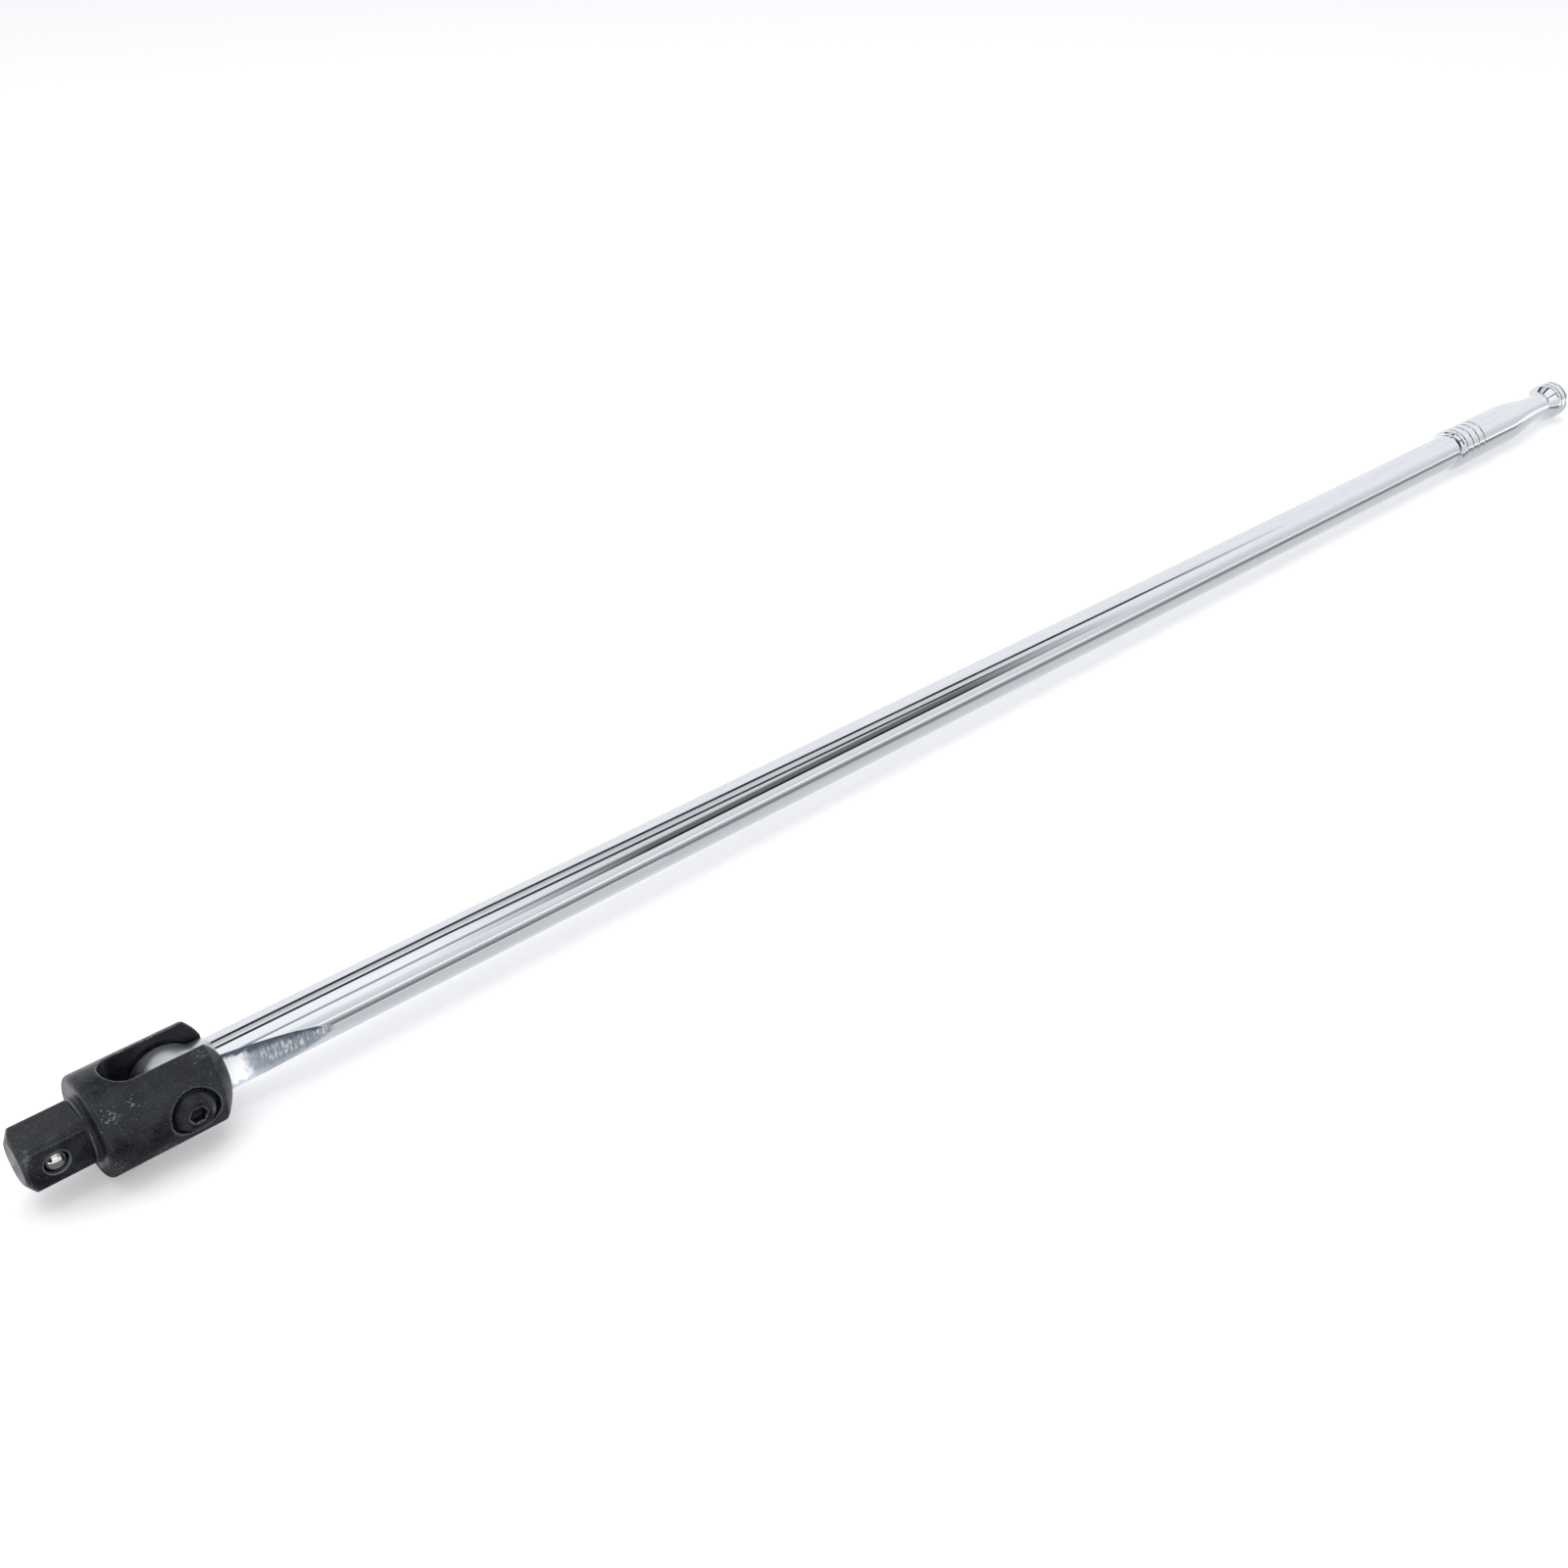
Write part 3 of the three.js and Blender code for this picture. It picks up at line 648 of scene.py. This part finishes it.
def chromed_bar():
    """The same plating on the forged bar. It is semi-matt on the eye and lies over cross-wise
    grinding marks on the flats. The flats' colour carries painted light and shade: a painted
    highlight beside the head, painted glint flecks, painted shade along their top and a paler
    painted bottom."""
    material, shader, node, links = new_material("chromed bar")
    maths = maths_adder(node)
    texture = node("ShaderNodeTexCoord")
    place = texture.outputs["Object"]
    along = node("ShaderNodeSeparateXYZ", {0: place})
    facing = node("ShaderNodeSeparateXYZ", {0: texture.outputs["Normal"]})
    wave = stretched_noise(node, place, (14, 90, 90), 1, 0.4)
    wipes = stretched_noise(node, place, (30, 700, 700), 4, 0.6)
    chatter = stretched_noise(node, place, (1700, 40, 330), 3, 0.65)
    blotches = stretched_noise(node, place, (420, 420, 420), 4, 0.6)
    on_flat = ramp(node, maths("ABSOLUTE", facing.outputs["Y"]), 0.984, 0.992)
    ground = maths("MULTIPLY", on_flat, ramp(node, along.outputs["X"], 0.0785, 0.0765))
    eye = ramp(node, along.outputs["X"], FLAT_END + 0.0002, FLAT_END - 0.0010, 0.0, 0.36)
    tint = mixed(node, ramp(node, wipes, 0.35, 0.7), DULL_CHROME, BRIGHT_CHROME)
    ragged = maths("MULTIPLY", maths("SUBTRACT", blotches, 0.5), 0.005)
    beside_head = maths("ADD", along.outputs["X"], ragged)
    left = ramp(node, along.outputs["X"], FLAT_END + RUN_OUT + 0.0006, FLAT_END, 0.02, 1.0)
    half_height = maths("MULTIPLY", maths("SQRT", left), 0.0062)
    height = maths("DIVIDE", maths("ADD", along.outputs["Z"], ragged), half_height)
    # Painted glint flecks: bright colour in flecks across the middle of each flat, fewer beside the
    # head.
    painted_glints = maths("MULTIPLY", ramp(node, chatter, 0.48, 0.60), ramp(node, height, 0.80, 0.35))
    painted_glints = maths("MULTIPLY", painted_glints, ramp(node, height, -0.55, -0.15))
    painted_glints = maths("MULTIPLY", painted_glints, ramp(node, beside_head, 0.0570, 0.0610, 0.15, 0.9))
    # A paler painted bottom and painted shade along the top of each flat.
    flat_colour_with_painted_light = mixed(node, ramp(node, height, -0.45, -0.85), GROUND_GREY, GROUND_PAINTED_LIGHT)
    flat_colour_with_painted_light = mixed(node, painted_glints, flat_colour_with_painted_light, GROUND_PAINTED_HIGHLIGHT)
    flat_colour_with_painted_light = mixed(node, ramp(node, height, 0.25, 0.80), flat_colour_with_painted_light, GROUND_PAINTED_SHADE)
    # A painted highlight: a bright patch across each flat beside the head.
    painted_patch_highlight = maths("MULTIPLY", ramp(node, height, 0.72, 0.60), ramp(node, height, -0.80, -0.68))
    painted_patch_highlight = maths("MULTIPLY", ramp(node, beside_head, 0.0568, 0.0545), painted_patch_highlight)
    flat_colour_with_painted_light = mixed(node, painted_patch_highlight, flat_colour_with_painted_light, GROUND_PAINTED_HIGHLIGHT)
    links.new(mixed(node, ground, tint, flat_colour_with_painted_light), shader.inputs["Base Color"])
    shader.inputs["Metallic"].default_value = 1.0
    polish = ramp(node, wipes, 0.4, 0.75, 0.04, 0.08)
    rough = node("ShaderNodeMix", {0: ground, 2: polish}, data_type="FLOAT")
    rough.inputs[3].default_value = 0.32
    links.new(maths("MAXIMUM", rough.outputs[0], eye), shader.inputs["Roughness"])
    smooth = node("ShaderNodeBump", {"Height": wave, "Strength": 0.25, "Distance": 0.0002})
    cut = maths("MULTIPLY", chatter, ground)
    marks = node("ShaderNodeBump", {"Height": cut, "Strength": 0.5, "Distance": 0.00012})
    links.new(smooth.outputs[0], marks.inputs["Normal"])
    links.new(marks.outputs[0], shader.inputs["Normal"])
    return material


handle_bar.data.materials.append(chromed_bar())
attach(handle_bar, "bar")
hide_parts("handle_bar")

# ---- End grip ---------------------------------------------------------------------------------
# A turned steel sleeve, pressed on the bar's spigot and chromed: a bead and four grooves, a plain
# hold, a long draw-in to a waist, and a knob with two grooves.

COLLAR_LIP_RADIUS = 0.0079
BEAD_LENGTH = 0.0029
GROOVE_WIDTH = 0.0013
GROOVE_DEPTH = 0.0005
COLLAR_PITCH = 0.0051
COLLAR_GROOVES = 4
HOLD_LENGTH = 0.0275
WAIST_RADIUS = 0.0058
WAIST_TO_END = 0.016
KNOB_RADIUS = 0.00855
KNOB_LENGTH = 0.0092
KNOB_PITCH = 0.0039
KNOB_GROOVES = 2
END_ROUNDING = 0.002
GRIP_BORE_END = 0.6932

grip_radius = grip_high.z


def groove(centre, radius):
    """A rounded groove: half an ellipse below the surface, with the surface running on level a little
    past each lip.
    """
    t = np.linspace(-1.25, 1.25, 21)
    depth = GROOVE_DEPTH * np.sqrt(np.clip(1 - t ** 2, 0, 1)) ** 1.2
    return np.stack([centre + t * GROOVE_WIDTH / 2, radius - depth], 1)


def wave_step(start, end, start_radius, end_radius, count):
    """A smooth step between two radii: half a cosine wave."""
    t = np.linspace(0, 1, count)
    radius = start_radius + (end_radius - start_radius) * (1 - np.cos(np.pi * t)) / 2
    return np.stack([start + (end - start) * t, radius], 1)


def grip_profile():
    """From the bottom of the bore to the front lip, then along the outside to the end face."""
    start = grip_low.x
    end = grip_high.x
    bead_end = start + BEAD_LENGTH
    first = bead_end + GROOVE_WIDTH * 0.65
    collar = [groove(first + i * COLLAR_PITCH, grip_radius) for i in range(COLLAR_GROOVES)]
    last = first + (COLLAR_GROOVES - 1) * COLLAR_PITCH
    waist = end - WAIST_TO_END
    knob = end - KNOB_LENGTH
    ring = knob + GROOVE_WIDTH
    knob_rings = [groove(ring + i * KNOB_PITCH, KNOB_RADIUS) for i in range(KNOB_GROOVES)]
    angle = np.radians(np.linspace(165, 90, 14))
    bead = np.stack([
        bead_end + BEAD_LENGTH * np.cos(angle),
        COLLAR_LIP_RADIUS + (grip_radius - COLLAR_LIP_RADIUS) * np.sin(angle),
    ], 1)
    bore = SPIGOT_RADIUS + 0.0002
    return np.concatenate([
        [[GRIP_BORE_END, 0], [GRIP_BORE_END, bore], [start, bore], [start, COLLAR_LIP_RADIUS]],
        bead,
        *collar,
        wave_step(last + HOLD_LENGTH, waist, grip_radius, WAIST_RADIUS, 48),
        wave_step(waist, knob, WAIST_RADIUS, KNOB_RADIUS, 24)[1:],
        *knob_rings,
        arc((end - END_ROUNDING, KNOB_RADIUS - END_ROUNDING), END_ROUNDING, 90, 0, 12),
        [[end, 0.0022], [end - 0.0009, 0.0012], [end - 0.0009, 0]],
    ])


end_grip = smoothed(skinned("end_grip_turned", turned_x(grip_profile(), 192)), 40)
end_grip.data.materials.append(polished_chrome("polished chrome", DULL_CHROME, BRIGHT_CHROME))
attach(end_grip, "bar")
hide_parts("end_grip")

# ---- Floor ------------------------------------------------------------------------------------
# A wide pale table top. It touches the underside of the head and of the grip's collar.

FLOOR_SIZE = 12.0

head_rest_x = head_rear - DOME_LENGTH
grip_rest_x = grip_low.x + 0.02
fall = (head_radius - grip_radius) / (grip_rest_x - head_rest_x)
reach = np.array([-FLOOR_SIZE, FLOOR_SIZE])
corners = [(x, y, -head_radius + (x - head_rest_x) * fall) for x in reach for y in reach]
floor_mesh = bpy.data.meshes.new("floor")
floor_mesh.from_pydata(corners, [], [(0, 2, 3, 1)])
floor = bpy.data.objects.new("floor", floor_mesh)
scene.collection.objects.link(floor)


def pale_table():
    """Matt white translucent sheet, faintly lit from below, with a barely visible fine grain."""
    material, shader, node, links = new_material("pale table")
    place = node("ShaderNodeTexCoord").outputs["Object"]
    grain = stretched_noise(node, place, (900, 900, 900), 2, 0.5)
    colour = mixed(node, ramp(node, grain, 0.3, 0.7), (0.93, 0.93, 0.93), (0.95, 0.95, 0.95))
    links.new(colour, shader.inputs["Base Color"])
    shader.inputs["Roughness"].default_value = 0.8
    shader.inputs["Emission Color"].default_value = (1.0, 1.0, 1.0, 1)
    shader.inputs["Emission Strength"].default_value = 0.30
    return material


floor_mesh.materials.append(pale_table())

# ---- Studio light -----------------------------------------------------------------------------
# A white tent all round. Its panels and the gaps between them run along the bar and are what the
# plating shows as bands and dark lines. One soft box hangs above.

WHITE = (1.0, 1.0, 1.0)
MATT_LIGHT = (0.62, 0.62, 0.64)
GAP = (0.030, 0.033, 0.040)
COOL = (0.985, 1.0, 1.03)
# Degrees round the bar from straight up, positive towards the camera's side, and the brightness.
PANELS_BY_THE_HEAD = (
    (-93, 0.55), (-34, 0.55), (-20, 0.68), (-10, 1.05), (30, 1.06), (33, 0.90), (36, 0.32),
    (40, 0.32), (43, 1.08), (62, 1.04), (66, 0.88), (90, 0.70),
)
PANELS_AT_THE_MIDDLE = (
    (-93, 0.42), (-22, 0.50), (-3, 0.70), (10, 0.72), (20, 0.80), (30, 0.68), (34, 0.20),
    (40, 0.17), (51, 0.15), (53, 0.01), (60, 0.01), (62, 0.88), (90, 0.72),
)
TOP_PANEL = (0.915, 0.930, 0.955)
PANELS_AT_THE_FAR_END = (
    (-93, 0.92), (-27, 0.88), (-14, 0.96), (30, 0.96), (48, 0.90), (58, 0.80), (64, 0.74),
    (90, 0.70),
)
# Towards the camera, where the tent is open on a dark room.
CAMERA_SIDE = (-0.858, -0.395, 0.330)

world = bpy.data.worlds.new("tent")
scene.world = world
world.use_nodes = True
sky = world.node_tree
sky_node = node_adder(sky)
sky_maths = maths_adder(sky_node)
ray = sky_node("ShaderNodeTexCoord").outputs["Generated"]
direction = sky_node("ShaderNodeSeparateXYZ", {0: ray})
towards = sky_maths("MULTIPLY", direction.outputs["Y"], -1.0)
around = sky_maths("ARCTAN2", towards, direction.outputs["Z"])
angle = ramp(sky_node, around, -math.pi, math.pi)


def bands(node, share, stops):
    """A strip of greys: each stop is a share of the strip and the brightness there."""
    made = node("ShaderNodeValToRGB", {0: share})
    elements = made.color_ramp.elements
    while len(elements) < len(stops):
        elements.new(0.5)
    for element, (place, value) in zip(elements, stops):
        element.position = place
        element.color = [value * tone for tone in COOL] + [1]
    return made.outputs[0]


def panels(stops):
    """The tent's panels, from their angles in degrees and how bright they are."""
    return bands(sky_node, angle, [((degrees + 180) / 360, value) for degrees, value in stops])


def from_gap(degrees, lean, start):
    """The angle past a gap that leans over along the bar, by so many degrees, from start on."""
    along = sky_maths("MAXIMUM", direction.outputs["X"], start)
    offset = math.radians(degrees - lean * start)
    centre = sky_maths("MULTIPLY_ADD", along, math.radians(lean), offset)
    return sky_maths("SUBTRACT", around, centre)


def outside_gap(past, half_width, closing):
    """Nought inside a gap, one outside it and where it has closed."""
    distance = sky_maths("ABSOLUTE", past)
    outside = ramp(sky_node, distance, math.radians(half_width - 1), math.radians(half_width + 1))
    return sky_maths("MAXIMUM", outside, ramp(sky_node, direction.outputs["X"], *closing))


past_head = ramp(sky_node, direction.outputs["X"], 0.36, 0.50)
past_middle = ramp(sky_node, direction.outputs["X"], 0.67, 0.755)
light = mixed(sky_node, past_head, panels(PANELS_BY_THE_HEAD), panels(PANELS_AT_THE_MIDDLE))
light = mixed(sky_node, past_middle, light, panels(PANELS_AT_THE_FAR_END))
upper = from_gap(-38, 130, 0.41)
lower = from_gap(-6, 110, 0.38)
light = mixed(sky_node, ramp(sky_node, upper, -0.02, 0.02), TOP_PANEL, light)
light = mixed(sky_node, outside_gap(upper, 6.0, (0.75, 0.81)), GAP, light)
light = mixed(sky_node, outside_gap(lower, 5.0, (0.67, 0.73)), GAP, light)
to_camera = sky_node("ShaderNodeVectorMath", {0: ray, 1: CAMERA_SIDE}, operation="DOT_PRODUCT")
light = mixed(sky_node, ramp(sky_node, to_camera.outputs["Value"], 0.87, 0.885), light, GAP)
path = sky_node("ShaderNodeLightPath")
light = mixed(sky_node, path.outputs["Is Diffuse Ray"], light, MATT_LIGHT)
light = mixed(sky_node, path.outputs["Is Camera Ray"], light, WHITE)
sky.links.new(light, sky.nodes["Background"].inputs["Color"])

soft_box = bpy.data.objects.new("soft_box", bpy.data.lights.new("soft_box", "AREA"))
scene.collection.objects.link(soft_box)
soft_box.data.shape = "RECTANGLE"
soft_box.data.size = 1.6
soft_box.data.size_y = 1.2
soft_box.data.energy = 9
soft_box.location = (0.1, 0.25, 1.3)
aim = Vector((0.15, 0, 0)) - soft_box.location
soft_box.rotation_euler = aim.to_track_quat("-Z", "Y").to_euler()
soft_box.visible_glossy = False

# ---- Reflector cards --------------------------------------------------------------------------
# Four cards lie flat on the table in front of the piece. They only light up its reflections: one
# for the head, one for the bar, and two narrow bright ones close to the bar's near end.

# Distance in front of the piece in metres, and the brightness of the card there.
HEAD_CARD = ((0.140, 0.20), (0.0, 0.16))
BAR_CARD = (
    (0.150, 0.82), (0.085, 0.62), (0.060, 0.44), (0.044, 0.26), (0.034, 0.22), (0.029, 0.40),
    (0.023, 0.64), (0.010, 0.68), (0.0, 0.84),
)
STRIP = ((0.0275, 1.1), (0.0235, 1.1))
GLOW = ((0.028, 1.35), (0.010, 1.35))


def card(name, start, end, lift, stops):
    """A flat card on the table in front of the piece that only reflections see."""
    front = -stops[0][0]
    back = -stops[-1][0]
    level = lift - head_radius - head_rest_x * fall
    corners = [(x, y, level + x * fall) for x in (start, end) for y in (front, back)]
    mesh = bpy.data.meshes.new(name)
    mesh.from_pydata(corners, [], [(0, 2, 3, 1)])
    piece = bpy.data.objects.new(name, mesh)
    scene.collection.objects.link(piece)
    material, shader, node, links = new_material(name)
    place = node("ShaderNodeSeparateXYZ", {0: node("ShaderNodeTexCoord").outputs["Object"]})
    share = ramp(node, place.outputs["Y"], front, back)
    strip = bands(node, share, [((-away - front) / (back - front), value) for away, value in stops])
    shader.inputs["Base Color"].default_value = (0, 0, 0, 1)
    shader.inputs["Specular IOR Level"].default_value = 0.0
    links.new(strip, shader.inputs["Emission Color"])
    shader.inputs["Emission Strength"].default_value = 1.0
    mesh.materials.append(material)
    piece.visible_camera = False
    piece.visible_diffuse = False
    piece.visible_shadow = False
    piece.visible_transmission = False


card("head_card", -0.060, head_rear + 0.001, 0.0003, HEAD_CARD)
card("bar_card", head_rear + 0.001, grip_high.x + 0.020, 0.0003, BAR_CARD)
card("strip_card", head_rear + 0.010, 0.200, 0.0005, STRIP)
card("glow_card", head_rear + 0.001, 0.0590, 0.0007, GLOW)
